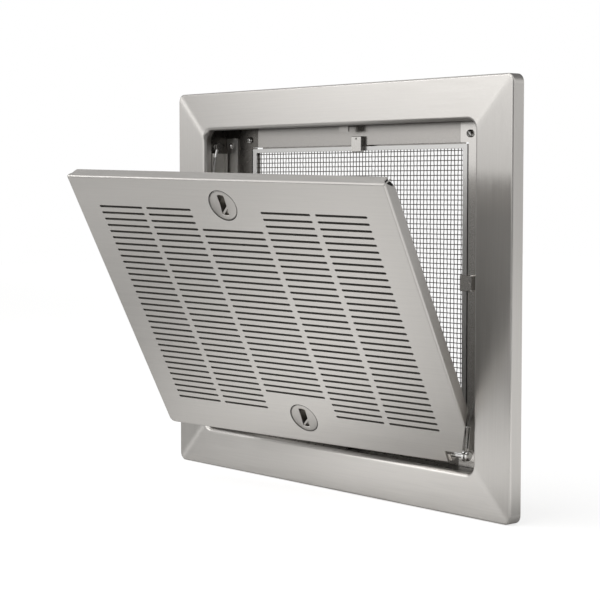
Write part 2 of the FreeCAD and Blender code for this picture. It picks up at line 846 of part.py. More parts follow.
save("door_panel", hang(door_panel()))
save("door_filter", hang(door_filter()))
for name, lock_z in (("top", top_lock_z), ("bottom", bottom_lock_z)):
    save("lock_housing_" + name, hang(lock_housing(lock_z)))
    save("lock_ring_" + name, hang(lock_ring(lock_z)))
    save("lock_core_" + name, hang(lock_core(lock_z)))
    save("lock_cam_" + name, hang(lock_cam(lock_z)))
    save("cam_bolt_" + name, hang(cam_bolt(lock_z)))
    print("lock", name, "axis point", hung.multVec(FreeCAD.Vector(0, face_front, lock_z)))
save("hinge_pin_right", hang(hinge_pin()))
save("hinge_pin_left", hang(mirror_x(hinge_pin())))
save("pin_block_right", hang(pin_block()))
save("pin_block_left", hang(mirror_x(pin_block())))

# Right hand wire rope: up from its terminal, behind the pan and along the side wall
terminal_reach = shank_start + shank_length + wire_slip
sleeve_reach = sleeve_start - 1 + sleeve_length + wire_slip
right_turn = swing_turn.multiply(FreeCAD.Rotation(x_axis, -swing_lean))
right_top = FreeCAD.Vector(loop_x, anchor_y, anchor_z)
right_start = pin_right + swing_axis * terminal_reach
right_route = [tuple(right_start),
               tuple(right_start + FreeCAD.Vector(5.0, 3.4, 24.0)),
               tuple(right_start + FreeCAD.Vector(13.5, 8.0, 62.0)),
               (loop_x - 1.0, right_start.y + 6.5, -5.0),
               (loop_x, anchor_y + 5.0, 62.0)]
right_loop_turn = turn_on_stud(FreeCAD.Vector(*right_route[-1]) - right_top)
right_end = right_top - right_loop_turn.multVec(z_axis) * sleeve_reach
save("wire_rope_right", tube(right_route + [tuple(right_end)], wire_radius))
save("wire_eye_right", lower_terminal(pin_right, right_turn))
save("wire_loop_right", upper_loop(right_top, right_loop_turn))
save("anchor_stud_right", anchor_stud())

# Left hand wire rope: pulled straight from its stud to the pin that hangs in front
left_pin = swung.multVec(pin_left)
left_top = FreeCAD.Vector(-loop_x, anchor_y, anchor_z)
left_aim = swing_turn.inverted().multVec(left_top - left_pin)
left_lean = math.degrees(math.atan2(left_aim.y, left_aim.z))
left_turn = swing_turn.multiply(FreeCAD.Rotation(x_axis, -left_lean))
left_start = left_pin + left_turn.multVec(z_axis) * terminal_reach
left_loop_turn = turn_on_stud(left_start - left_top)
left_end = left_top - left_loop_turn.multVec(z_axis) * sleeve_reach
left_run = left_end - left_start
save("wire_rope_left", bar(left_start, left_run, wire_radius, left_run.Length))
save("wire_eye_left", lower_terminal(left_pin, left_turn))
save("wire_loop_left", upper_loop(left_top, left_loop_turn))
save("anchor_stud_left", mirror_x(anchor_stud()))

print("left rope from pin", left_pin, "to stud", left_top, "length", round((left_top - left_pin).Length, 1))
print("right pin", pin_right, "swing axis", swing_axis)
print("tilt axis", swing_turn.multVec(x_axis))
print("lock axis", hung.Rotation.multVec(y_axis))
print("button places", button_places())
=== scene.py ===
import json
import math

import bpy
import numpy as np
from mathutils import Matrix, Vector


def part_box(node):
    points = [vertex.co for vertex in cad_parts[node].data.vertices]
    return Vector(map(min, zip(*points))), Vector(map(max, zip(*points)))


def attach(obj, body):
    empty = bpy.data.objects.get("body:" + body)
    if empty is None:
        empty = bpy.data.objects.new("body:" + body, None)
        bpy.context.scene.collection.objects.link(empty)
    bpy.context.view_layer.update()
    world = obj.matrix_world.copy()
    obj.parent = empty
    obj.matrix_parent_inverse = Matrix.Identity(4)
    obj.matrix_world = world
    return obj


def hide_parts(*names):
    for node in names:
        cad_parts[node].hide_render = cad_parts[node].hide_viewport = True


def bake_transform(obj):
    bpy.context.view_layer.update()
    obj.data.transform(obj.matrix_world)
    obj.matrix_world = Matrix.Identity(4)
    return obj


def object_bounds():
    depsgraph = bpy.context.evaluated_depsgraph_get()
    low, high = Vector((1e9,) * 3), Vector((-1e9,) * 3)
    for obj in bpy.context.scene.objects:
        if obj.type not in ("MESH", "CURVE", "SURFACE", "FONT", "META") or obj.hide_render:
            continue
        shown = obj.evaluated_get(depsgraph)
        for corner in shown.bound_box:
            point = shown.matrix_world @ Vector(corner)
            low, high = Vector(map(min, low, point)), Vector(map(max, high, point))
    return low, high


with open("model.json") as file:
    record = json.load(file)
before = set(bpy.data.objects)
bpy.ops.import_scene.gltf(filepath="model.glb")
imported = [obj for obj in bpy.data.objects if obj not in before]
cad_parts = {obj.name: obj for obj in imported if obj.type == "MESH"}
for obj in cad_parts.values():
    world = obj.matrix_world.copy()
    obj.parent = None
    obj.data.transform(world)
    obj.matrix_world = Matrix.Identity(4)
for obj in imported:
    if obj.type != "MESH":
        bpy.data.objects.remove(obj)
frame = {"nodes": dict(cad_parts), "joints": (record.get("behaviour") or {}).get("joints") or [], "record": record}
cadLow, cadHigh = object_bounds()
nodes = frame["nodes"]
mm = 0.001
print("frame loaded:", len(nodes), "nodes")


# small helpers

def linearColour(hexText):
    # sRGB to linear: a straight part near black, a 2.4 power above it
    channels = [int(hexText[i:i + 2], 16) / 255 for i in (1, 3, 5)]
    linear = [c / 12.92 if c <= 0.04045 else ((c + 0.055) / 1.055) ** 2.4 for c in channels]
    return (*linear, 1.0)


def addNode(tree, kind, values=None, links=None, **settings):
    # values sets sockets by name or number, links joins sockets, settings sets the node's own properties
    node = tree.nodes.new(kind)
    for key, value in settings.items():
        setattr(node, key, value)
    for key, value in (values or {}).items():
        node.inputs[key].default_value = value
    for key, socket in (links or {}).items():
        tree.links.new(socket, node.inputs[key])
    return node


def newMaterial(name):
    material = bpy.data.materials.new(name)
    material.use_nodes = True
    tree = material.node_tree
    shader = tree.nodes["Principled BSDF"]
    return material, tree, shader


def makeMesh(name, points, faces, material, smooth=True, creaseDegrees=None):
    mesh = bpy.data.meshes.new(name)
    mesh.from_pydata(points.reshape(-1, 3).tolist(), [], faces.tolist())
    mesh.polygons.foreach_set("use_smooth", [smooth] * len(mesh.polygons))
    if creaseDegrees is not None:
        mesh.set_sharp_from_angle(angle=math.radians(creaseDegrees))
    mesh.update()
    mesh.materials.append(material)
    piece = bpy.data.objects.new(name, mesh)
    bpy.context.scene.collection.objects.link(piece)
    return piece


def gridFaces(rows, columns, closed):
    # quads of a grid of points, the columns joined round to the first one where closed
    i = np.arange(rows - 1)[:, None]
    j = np.arange(columns if closed else columns - 1)[None, :]
    k = (j + 1) % columns
    quads = [i * columns + j, i * columns + k, (i + 1) * columns + k, (i + 1) * columns + j]
    return np.stack([np.broadcast_to(q, np.broadcast(i, j).shape) for q in quads], -1).reshape(-1, 4)


# materials

brushed = {
    "acrossMm": 1.7,      # far coarser than real grit lines, or none would show in the render
    "alongMm": 70.0,
    "noiseRange": (0.3, 0.7),
    "toneSpread": 0.075,
    "roughSpread": 0.045,
    "bumpMm": 0.004,
    "anisotropy": 0.8,
}


def streakField(tree, coordinate, along):
    # noise stretched along one axis: the lines that a belt leaves in sheet
    scale = [1 / (brushed["acrossMm"] * mm)] * 3
    scale[along] = 1 / (brushed["alongMm"] * mm)
    mapping = addNode(tree, "ShaderNodeMapping", {"Scale": scale}, {"Vector": coordinate})
    noise = addNode(tree, "ShaderNodeTexNoise", {"Scale": 1.0, "Detail": 2.0, "Roughness": 0.6},
                    {"Vector": mapping.outputs["Vector"]})
    return noise.outputs["Fac"]


def finishBrushed(tree, shader, streaks, spec, tangent):
    # streaks move the tone and the roughness a little and raise a very fine bump
    low = [c * (1 - brushed["toneSpread"]) for c in linearColour(spec["colour"])[:3]] + [1.0]
    high = [min(1.0, c * (1 + brushed["toneSpread"])) for c in linearColour(spec["colour"])[:3]] + [1.0]
    tone = addNode(tree, "ShaderNodeMix", {6: low, 7: high}, {"Factor": streaks}, data_type="RGBA")
    faint, strong = brushed["noiseRange"]
    rough = addNode(tree, "ShaderNodeMapRange", {"From Min": faint, "From Max": strong,
                                                 "To Min": spec["roughness"] - brushed["roughSpread"],
                                                 "To Max": spec["roughness"] + brushed["roughSpread"]},
                    {"Value": streaks})
    bump = addNode(tree, "ShaderNodeBump", {"Strength": spec["bump"], "Distance": brushed["bumpMm"] * mm},
                   {"Height": streaks})
    tree.links.new(tone.outputs[2], shader.inputs["Base Color"])
    tree.links.new(rough.outputs[0], shader.inputs["Roughness"])
    tree.links.new(bump.outputs["Normal"], shader.inputs["Normal"])
    tree.links.new(tangent, shader.inputs["Tangent"])
    shader.inputs["Metallic"].default_value = 1.0
    shader.inputs["Anisotropic"].default_value = brushed["anisotropy"]


def worldDirection(tree, direction):
    # a direction fixed on the piece, so that it turns with its body
    turn = addNode(tree, "ShaderNodeVectorTransform", {"Vector": direction},
                   vector_type="VECTOR", convert_from="OBJECT", convert_to="WORLD")
    return turn.outputs[0]


frameSteel = {"colour": "#cbc8c4", "roughness": 0.32, "bump": 0.25, "mitreMm": 50.0, "mitreSoftMm": 9.0}


def brushedFrameSteel():
    # stainless steel sheet, belt brushed along each flange, so its tone changes at the mitre lines
    material, tree, shader = newMaterial("stainlessBrushedAlongFlanges")
    place = addNode(tree, "ShaderNodeTexCoord").outputs["Object"]
    parts = addNode(tree, "ShaderNodeSeparateXYZ", links={0: place})
    absX = addNode(tree, "ShaderNodeMath", links={0: parts.outputs["X"]}, operation="ABSOLUTE")
    absZ = addNode(tree, "ShaderNodeMath", links={0: parts.outputs["Z"]}, operation="ABSOLUTE")
    lead = addNode(tree, "ShaderNodeMath", links={0: absX.outputs[0], 1: absZ.outputs[0]},
                   operation="SUBTRACT")
    edge, soft = frameSteel["mitreMm"] * mm, frameSteel["mitreSoftMm"] * mm
    onSide = addNode(tree, "ShaderNodeMapRange", {1: edge - soft, 2: edge + soft}, {0: lead.outputs[0]},
                     interpolation_type="SMOOTHSTEP")
    alongX = streakField(tree, place, 0)
    alongZ = streakField(tree, place, 2)
    streaks = addNode(tree, "ShaderNodeMix", links={"Factor": onSide.outputs[0], 2: alongX, 3: alongZ})
    tangent = addNode(tree, "ShaderNodeMix", links={"Factor": onSide.outputs[0],
                                                    4: worldDirection(tree, (0, 0, 1)),
                                                    5: worldDirection(tree, (1, 0, 0))}, data_type="VECTOR")
    finishBrushed(tree, shader, streaks.outputs[0], frameSteel, tangent.outputs[1])
    return material


doorSteel = {"colour": "#c8c5c1", "roughness": 0.33, "bump": 0.25}


def brushedDoorSteel(acrossDoor, upDoor):
    # the same sheet on the door, brushed from side to side, along the slots
    material, tree, shader = newMaterial("stainlessBrushedAcrossDoor")
    place = addNode(tree, "ShaderNodeTexCoord").outputs["Object"]
    along = addNode(tree, "ShaderNodeVectorMath", {1: acrossDoor}, {0: place}, operation="DOT_PRODUCT")
    across = addNode(tree, "ShaderNodeVectorMath", {1: upDoor}, {0: place}, operation="DOT_PRODUCT")
    inward = addNode(tree, "ShaderNodeVectorMath", {1: acrossDoor.cross(upDoor)}, {0: place},
                     operation="DOT_PRODUCT")
    local = addNode(tree, "ShaderNodeCombineXYZ",
                    links={0: along.outputs["Value"], 1: inward.outputs["Value"], 2: across.outputs["Value"]})
    streaks = streakField(tree, local.outputs[0], 0)
    finishBrushed(tree, shader, streaks, doorSteel, worldDirection(tree, upDoor))
    return material


roughSway = 0.15    # how far the grain moves a plain sheet's roughness


def plainSteel(name, colour, roughness, grainMm, grainTone):
    # cold rolled or turned steel: an even metal with a faint cloudy grain
    material, tree, shader = newMaterial(name)
    place = addNode(tree, "ShaderNodeTexCoord").outputs["Object"]
    grain = addNode(tree, "ShaderNodeTexNoise", {"Scale": 1 / (grainMm * mm), "Detail": 3.0},
                    {"Vector": place})
    base = linearColour(colour)
    low = [c * (1 - grainTone) for c in base[:3]] + [1.0]
    high = [min(1.0, c * (1 + grainTone)) for c in base[:3]] + [1.0]
    tone = addNode(tree, "ShaderNodeMix", {6: low, 7: high}, {"Factor": grain.outputs["Fac"]},
                   data_type="RGBA")
    rough = addNode(tree, "ShaderNodeMapRange",
                    {"To Min": roughness * (1 - roughSway), "To Max": roughness * (1 + roughSway)},
                    {"Value": grain.outputs["Fac"]})
    tree.links.new(tone.outputs[2], shader.inputs["Base Color"])
    tree.links.new(rough.outputs[0], shader.inputs["Roughness"])
    shader.inputs["Metallic"].default_value = 1.0
    return material


pad = {"colour": "#57544f", "roughness": 0.95, "poreMm": 1.1, "poreEdge": 0.25, "poreShadeTone": 0.35,
       "bump": 0.6, "bumpMm": 0.5}


def fibrePad():
    # dark open fibre: rough and matt, with pores between the threads darkened as painted shade
    material, tree, shader = newMaterial("fibrePadDark")
    place = addNode(tree, "ShaderNodeTexCoord").outputs["Object"]
    pores = addNode(tree, "ShaderNodeTexVoronoi", {"Scale": 1 / (pad["poreMm"] * mm)}, {"Vector": place},
                    feature="DISTANCE_TO_EDGE")
    base = linearColour(pad["colour"])
    # painted shade: the pores are darker than the threads
    dark = [c * pad["poreShadeTone"] for c in base[:3]] + [1.0]
    level = addNode(tree, "ShaderNodeMapRange", {"From Max": pad["poreEdge"]},
                    {"Value": pores.outputs["Distance"]})
    tone = addNode(tree, "ShaderNodeMix", {6: base, 7: dark}, {"Factor": level.outputs[0]}, data_type="RGBA")
    bump = addNode(tree, "ShaderNodeBump", {"Strength": pad["bump"], "Distance": pad["bumpMm"] * mm},
                   {"Height": level.outputs[0]}, invert=True)
    tree.links.new(tone.outputs[2], shader.inputs["Base Color"])
    tree.links.new(bump.outputs["Normal"], shader.inputs["Normal"])
    shader.inputs["Roughness"].default_value = pad["roughness"]
    return material


shadeFeltSpec = {"colour": "#242321", "roughness": 0.9, "fibreMm": 0.5, "lowTone": 0.6}


def paintedShadeFelt():
    # pressed felt of the seals: nearly black, as painted shade for the dark gaps round the locks and at the door's
    # upper corners, with a fine fibre noise
    material, tree, shader = newMaterial("sealPaintedShadeDark")
    place = addNode(tree, "ShaderNodeTexCoord").outputs["Object"]
    fibre = addNode(tree, "ShaderNodeTexNoise", {"Scale": 1 / (shadeFeltSpec["fibreMm"] * mm), "Detail": 2.0},
                    {"Vector": place})
    base = linearColour(shadeFeltSpec["colour"])
    low = [c * shadeFeltSpec["lowTone"] for c in base[:3]] + [1.0]
    tone = addNode(tree, "ShaderNodeMix", {6: low, 7: base}, {"Factor": fibre.outputs["Fac"]},
                   data_type="RGBA")
    tree.links.new(tone.outputs[2], shader.inputs["Base Color"])
    shader.inputs["Roughness"].default_value = shadeFeltSpec["roughness"]
    return material


backing = {"colour": "#c4c3c1", "holeShadeColour": "#2b2a28", "holeMm": 3.0, "pitchMm": 5.0, "edgeSoft": 0.02,
           "roughness": 0.30, "holeRoughness": 0.95}


def perforatedAluminium():
    # satin aluminium sheet with rows of round holes, drawn as dark dots for the fibre that shows through, darker
    # than the fibre as painted shade in the holes; the sheet's own map is in metres, and the distance to the
    # middle of each square cell tells hole from sheet
    material, tree, shader = newMaterial("aluminiumPerforatedBacking")
    place = addNode(tree, "ShaderNodeTexCoord").outputs["UV"]
    cell = addNode(tree, "ShaderNodeVectorMath", {1: (1 / (backing["pitchMm"] * mm),) * 3}, {0: place},
                   operation="MULTIPLY")
    within = addNode(tree, "ShaderNodeVectorMath", links={0: cell.outputs[0]}, operation="FRACTION")
    away = addNode(tree, "ShaderNodeVectorMath", {1: (0.5, 0.5, 0.0)}, {0: within.outputs[0]},
                   operation="DISTANCE")
    edge, soft = backing["holeMm"] / backing["pitchMm"] / 2, backing["edgeSoft"]
    solid = addNode(tree, "ShaderNodeMapRange", {1: edge - soft, 2: edge + soft}, {0: away.outputs["Value"]})
    tone = addNode(tree, "ShaderNodeMix",
                   {6: linearColour(backing["holeShadeColour"]), 7: linearColour(backing["colour"])},
                   {"Factor": solid.outputs[0]}, data_type="RGBA")
    rough = addNode(tree, "ShaderNodeMapRange", {3: backing["holeRoughness"], 4: backing["roughness"]},
                    {0: solid.outputs[0]})
    tree.links.new(tone.outputs[2], shader.inputs["Base Color"])
    tree.links.new(rough.outputs[0], shader.inputs["Roughness"])
    tree.links.new(solid.outputs[0], shader.inputs["Metallic"])
    return material


# the door's own axes as it hangs, read from the frame: the tilt's axis runs across it, the locks' axis inward
joints = {joint["name"]: joint for joint in frame["joints"]}
doorAcross = Vector(joints["door_tilt"]["axis"]).normalized()
doorInward = Vector(joints["top_lock_turn"]["axis"]).normalized()
doorUp = doorAcross.cross(doorInward).normalized()

brushedFrame = brushedFrameSteel()
brushedDoor = brushedDoorSteel(doorAcross, doorUp)
millSheet = plainSteel("stainlessMillSheet", "#cdcac6", 0.19, 6.0, 0.03)
# nearly black seal material: painted shade in the gaps round the locks and at the door's upper corners
shadeSeal = paintedShadeFelt()
# a dark copy of the mill sheet: painted shade for the throat box, the left and bottom seat strips and the bottom
# catch, deep in the opening
deepShadeSheet = plainSteel("steelMillDeepPaintedShade", "#6d6a66", 0.28, 6.0, 0.05)
# a darker copy of the mill sheet: painted shade for the top seat strip and the top catch under the surround's lip
paintedShadeSheet = plainSteel("stainlessMillPaintedShade", "#b0ada9", 0.24, 6.0, 0.04)
channelSheet = plainSteel("steelZincChannel", "#dedcd8", 0.42, 3.0, 0.06)
brightSteel = plainSteel("steelTurnedBright", "#dcdbd9", 0.20, 1.5, 0.05)
lockSteel = plainSteel("steelLockSatin", "#b4b1ad", 0.30, 1.2, 0.06)
wireSteel = plainSteel("steelWireStranded", "#a9a8a6", 0.3, 0.6, 0.10)
meshWire = plainSteel("stainlessWireWoven", "#736e69", 0.45, 0.8, 0.08)
railAluminium = plainSteel("aluminiumSatinRail", "#d0cfcd", 0.3, 4.0, 0.03)

bySlot = {"brushed_frame": brushedFrame, "brushed_door": brushedDoor, "mill_sheet": millSheet,
          "bright_steel": brightSteel, "wire": wireSteel, "filter_wire": meshWire,
          "filter_frame": railAluminium, "filter_media": fibrePad()}
for entry in frame["record"]["subparts"]:
    part = nodes[entry["node"]]
    part.data.materials.clear()
    part.data.materials.append(bySlot[entry["material_slot"]])
# painted shade: the throat box, the left and bottom seat strips and the bottom catch take the dark copy
nodes["throat_box"].data.materials[0] = deepShadeSheet
for name in ("seat_strip_left", "seat_strip_bottom", "catch_bottom"):
    nodes[name].data.materials[0] = deepShadeSheet
# painted shade: the top seat strip and the top catch take the darker copy
for name in ("seat_strip_top", "catch_top"):
    nodes[name].data.materials[0] = paintedShadeSheet
for name in ("guide_channel_left", "guide_channel_right", "angle_plate_left", "angle_plate_right"):
    nodes[name].data.materials[0] = channelSheet
print("materials made for", len(bySlot), "slots")


# woven mesh of the filter

weave = {"pitchMm": 4.63, "wireMm": 0.84, "stepsPerPitch": 3, "sides": 6, "tuckMm": 2.0, "crimp": 0.45}


def wovenWires(across, along, middleY, phase):
    # each wire is a small tube whose middle waves a little over and under the crossing wires:
    # y = middle + a cos(pi (s / pitch + number) + phase)
    pitch = weave["pitchMm"] * mm
    radius = weave["wireMm"] * mm / 2
    count = int(2 * across / pitch)
    crossings = int(2 * along / pitch)
    offsets = (np.arange(count) - (count - 1) / 2) * pitch
    steps = np.linspace(-along, along, crossings * weave["stepsPerPitch"] + 1)
    angles = np.arange(weave["sides"]) / weave["sides"] * 2 * np.pi
    number = np.arange(count)[:, None]
    wave = weave["crimp"] * radius * np.cos(np.pi * (steps[None, :] / pitch + number) + phase)
    side = offsets[:, None, None] + radius * np.cos(angles)[None, None, :]
    deep = middleY + wave[:, :, None] + radius * np.sin(angles)[None, None, :]
    side = np.broadcast_to(side, deep.shape)
    run = np.broadcast_to(steps[None, :, None], deep.shape)
    faces = gridFaces(len(steps), weave["sides"], True)
    perWire = len(steps) * weave["sides"]
    allFaces = (faces[None, :, :] + (np.arange(count) * perWire)[:, None, None]).reshape(-1, 4)
    return side, deep, run, allFaces


def buildFilterMesh():
    low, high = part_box("filter_mesh")
    middleY = (low.y + high.y) / 2
    spanX = high.x - weave["tuckMm"] * mm
    spanZ = high.z - weave["tuckMm"] * mm
    shift = (1 - weave["crimp"]) * weave["wireMm"] * mm / 2
    side, deep, run, faces = wovenWires(spanX, spanZ, middleY - shift, 0.0)
    warp = makeMesh("filter_mesh_uprights", np.stack([side, deep, run], -1), faces, meshWire)
    side, deep, run, faces = wovenWires(spanZ, spanX, middleY + shift, np.pi)
    weft = makeMesh("filter_mesh_crosswires", np.stack([run, deep, side], -1), faces[:, ::-1], meshWire)
    for piece in (warp, weft):
        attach(piece, "housing")
        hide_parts("filter_mesh")
    print("woven mesh:", len(warp.data.polygons) + len(weft.data.polygons), "faces")


buildFilterMesh()


# wire ropes

rope = {"radiusMm": 0.8, "strands": 6, "layMm": 9.0, "sides": 6, "stepMm": 0.9,
        # share along the left rope, and place there on the blend's ramp from the door's motion to the
        # housing's: as the door closes, the rope goes slack and bows in behind the pan's flange
        "slack": [(0.0, 0.0), (0.45, 0.37), (0.8, 0.58), (1.0, 1.0)]}
rightRoute = [(0.177, 0.006427, -0.120391), (0.182, 0.009827, -0.096391), (0.1905, 0.014427, -0.058391),
              (0.1975, 0.012927, -0.005), (0.1985, 0.0057, 0.062), (0.1985, 0.001445, 0.130923)]
leftRoute = [(-0.170891, -0.058704, -0.1128), (-0.1880, -0.0304, 0.0092), (-0.1985, -0.002037, 0.131214)]


def routeLine(name, route):
    # evenly spaced points of a smooth spline from the route's first point to its last, drawn towards those
    # between, and each one's length along it
    curve = bpy.data.curves.new(name, "CURVE")
    curve.dimensions = "3D"
    spline = curve.splines.new("NURBS")
    spline.points.add(len(route) - 1)
    for point, place in zip(spline.points, route):
        point.co = (*place, 1.0)
    spline.order_u = 3
    spline.use_endpoint_u = True
    curve.resolution_u = 24
    holder = bpy.data.objects.new(name, curve)
    bpy.context.scene.collection.objects.link(holder)
    bpy.context.view_layer.update()
    mesh = bpy.data.meshes.new_from_object(holder)
    points = np.array([v.co for v in mesh.vertices], float)
    bpy.data.objects.remove(holder)
    bpy.data.meshes.remove(mesh)
    lengths = np.concatenate([[0], np.cumsum(np.linalg.norm(np.diff(points, axis=0), axis=1))])
    even = np.linspace(0, lengths[-1], int(lengths[-1] / (rope["stepMm"] * mm)) + 1)
    return np.stack([np.interp(even, lengths, points[:, k]) for k in range(3)], -1), even


def strandedRope(name, route, node, shares=(0.0, 1.0)):
    # six strands wound round a seventh: each centre goes round the line once per lay, and each strand is a
    # small tube; shares picks a length of the rope
    line, even = routeLine(name, route)
    tangent = np.gradient(line, axis=0)
    tangent /= np.linalg.norm(tangent, axis=1)[:, None]
    sideways = np.cross(tangent, (0, 1, 0))
    sideways /= np.linalg.norm(sideways, axis=1)[:, None]
    forward = np.cross(tangent, sideways)
    first, last = (round(share * (len(line) - 1)) for share in shares)
    line, even, sideways, forward = (rows[first:last + 1] for rows in (line, even, sideways, forward))
    strandRadius = rope["radiusMm"] * mm / 3
    turn = 2 * np.pi * even / (rope["layMm"] * mm)
    angles = np.arange(rope["sides"]) / rope["sides"] * 2 * np.pi
    ringFaces = gridFaces(len(line), rope["sides"], True)
    points, faces = [], []
    for strand in range(rope["strands"] + 1):
        reach = 0 if strand == rope["strands"] else 2 * strandRadius
        phase = turn + strand / rope["strands"] * 2 * np.pi
        centre = line + reach * (np.cos(phase)[:, None] * sideways + np.sin(phase)[:, None] * forward)
        ring = (np.cos(angles)[None, :, None] * sideways[:, None, :] +
                np.sin(angles)[None, :, None] * forward[:, None, :]) * strandRadius
        faces.append(ringFaces + sum(len(p) for p in points))
        points.append((centre[:, None, :] + ring).reshape(-1, 3))
    piece = makeMesh(name, np.concatenate(points), np.concatenate(faces), wireSteel)
    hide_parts(node)
    return piece


rightRope = strandedRope("rope_right_strands", rightRoute, "wire_rope_right")
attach(rightRope, "housing")


def buildLeftRope():
    # lengths that meet end to end, cut at the shares in the settings
    for number, (first, last) in enumerate(zip(rope["slack"], rope["slack"][1:]), 1):
        (fromShare, fromPlace), (toShare, toPlace) = first, last
        name = "rope_left_strands_%d" % number
        piece = strandedRope(name, leftRoute, "wire_rope_left", (fromShare, toShare))
        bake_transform(piece)


buildLeftRope()
print("ropes made")


# cross recess screws of the seat

screw = {"radiusMm": 3.6, "heightMm": 3.4, "domeDrop": 0.62, "turns": (0.4, 1.1, 0.2, 0.8),
         "recessLengthMm": 4.4, "recessWidthMm": 1.3, "recessDepthMm": 2.1,
         "sideSlopeMm": 0.25, "endSlopeMm": 0.5, "rings": 34, "spokes": 96}


def crossHead(centre, radius, height, turn):
    # pan head over a disc: height (1 - drop (r / radius)^4), less a cross shaped hollow with sloping walls
    r = np.linspace(0, 1, screw["rings"])[:, None] * radius
    a = np.arange(screw["spokes"])[None, :] / screw["spokes"] * 2 * np.pi
    x, z = r * np.cos(a), r * np.sin(a)
    dome = height * (1 - (r / radius) ** 4 * screw["domeDrop"])
    u, v = np.abs(x * math.cos(turn) + z * math.sin(turn)), np.abs(z * math.cos(turn) - x * math.sin(turn))
    thin, long = np.minimum(u, v), np.maximum(u, v)
    wall = np.clip((screw["recessWidthMm"] * mm / 2 - thin) / (screw["sideSlopeMm"] * mm), 0, 1)
    wall *= np.clip((screw["recessLengthMm"] * mm / 2 - long) / (screw["endSlopeMm"] * mm), 0, 1)
    top = np.broadcast_to(dome, x.shape) - wall * screw["recessDepthMm"] * mm
    cap = np.stack([centre.x + x, centre.y - top, centre.z + z], -1)
    foot = cap[-1:].copy()
    foot[:, :, 1] = centre.y
    return np.concatenate([cap, foot])


def buildSeatScrews():
    low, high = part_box("seat_screws")
    radius, height = screw["radiusMm"] * mm, screw["heightMm"] * mm
    points, faces = [], []
    ringFaces = gridFaces(screw["rings"] + 1, screw["spokes"], True)
    turns = iter(screw["turns"])
    for x in (low.x + radius, high.x - radius):
        for z in (low.z + radius, high.z - radius):
            head = crossHead(Vector((x, low.y + height, z)), radius, height, next(turns))
            faces.append(ringFaces + sum(len(p) for p in points))
            points.append(head.reshape(-1, 3))
    piece = makeMesh("seat_screw_heads", np.concatenate(points), np.concatenate(faces), brightSteel)
    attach(piece, "housing")
    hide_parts("seat_screws")
    print("seat screws made")


buildSeatScrews()


# the door's own frame: its axes as it hangs and the right hand pin, with local places as in part.py

pinWorld = Vector(joints["door_tilt"]["pos_m"])
pinLocal = Vector((177.0, 3.2, -147.3)) * mm


def doorPlace(local):
    # rows of local millimetres to places in the hung pose: pin + x across + y inward + z up
    away = np.asarray(local, float) * mm - np.array(pinLocal)
    return away @ np.array([doorAcross, doorInward, doorUp]) + np.array(pinWorld)


# flat plates of the door

def flatPlate(outline, thickAxis, low, high):
    # an outline in two local axes repeated on both sides of the sheet and joined round
    rows = [np.insert(np.array(outline, float), thickAxis, value, axis=1) for value in (low, high)]
    count = len(outline)
    sides = [[i, (i + 1) % count, count + (i + 1) % count, count + i] for i in range(count)]
    caps = [list(range(count))[::-1], list(range(count, 2 * count))]
    return np.concatenate(rows), sides + caps


def addPlates(name, plates, material):
    # one piece of several plates, with the sheet's own metres as its map
    points, faces = [], []
    for outline, thickAxis, low, high in plates:
        plate, plateFaces = flatPlate(outline, thickAxis, low, high)
        offset = sum(len(p) for p in points)
        points.append(plate)
        faces += [[offset + i for i in face] for face in plateFaces]
    local = np.concatenate(points)
    mesh = bpy.data.meshes.new(name)
    mesh.from_pydata(doorPlace(local).tolist(), [], faces)
    corners = np.zeros(len(mesh.loops), dtype=int)
    mesh.loops.foreach_get("vertex_index", corners)
    sheet = mesh.uv_layers.new(name="sheetMetres")
    sheet.data.foreach_set("uv", (local[corners][:, [0, 2]] * mm).ravel())
    mesh.materials.append(material)
    piece = bpy.data.objects.new(name, mesh)
    bpy.context.scene.collection.objects.link(piece)
    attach(piece, "door")


# square ends of the door's flanges at its upper corners, and the nearly black felt seals inside them, painted
# shade for the open corner gaps

corner = {"halfWidthMm": 193.0, "topMm": 147.5, "rootMm": -1.8, "backMm": 8.7, "sheetMm": 1.2, "runMm": 10.5,
          "topEndMm": 4.2, "sideEndMm": 7.6,
          "shadeSealInsetMm": 1.3, "shadeSealNearMm": 6.6, "shadeSealFarMm": 11.5, "shadeSealFrontMm": -2.4, "shadeSealBackMm": 8.5}


def buildDoorCorners():
    # at each corner one triangle in the top flange's plane and one in the side flange's plane, which close the
    # mitre down to a narrow open corner
    root, back, run, sheet = (corner[key] for key in ("rootMm", "backMm", "runMm", "sheetMm"))
    high, topEnd, sideEnd = corner["topMm"], corner["topEndMm"], corner["sideEndMm"]
    plates = []
    for side in (-1, 1):
        edge = side * corner["halfWidthMm"]
        end = edge - side * topEnd
        plates.append(([(end, root + topEnd), (edge - side * run, back), (end, back)], 2, high - sheet, high))
        flank = [(root + sideEnd, high - sideEnd), (back, high - run), (back, high - sideEnd)]
        plates.append((flank, 0, edge - side * sheet, edge))
    addPlates("door_corner_ends", plates, brushedDoor)


def buildCornerShadeSeals():
    # each seal is a band across its corner, between two distances from the corner along the edges; its near black
    # is painted shade in the corner
    edge, high, inset = corner["halfWidthMm"], corner["topMm"], corner["shadeSealInsetMm"]
    near, far = corner["shadeSealNearMm"], corner["shadeSealFarMm"]
    plates = []
    for side in (-1, 1):
        outline = [(side * (edge - inset), high - near), (side * (edge - near), high - inset),
                   (side * (edge - far), high - inset), (side * (edge - inset), high - far)]
        plates.append((outline, 1, corner["shadeSealFrontMm"], corner["shadeSealBackMm"]))
    addPlates("door_corner_shade_seals", plates, shadeSeal)


buildDoorCorners()
buildCornerShadeSeals()
print("door corners made")


# the filter pad's perforated backing

# the locks stand on the door with their faces and their middles here, and the backing bows in round them
lockPlace = {"faceMm": -3.8, "topMm": 120.0, "bottomMm": -122.1}
backingPlace = {"halfWidthMm": 165.5, "lowMm": -117.5, "highMm": 116.5, "frontMm": 1.9, "thickMm": 0.5,
                "clearMm": 22.5, "arcPoints": 25}


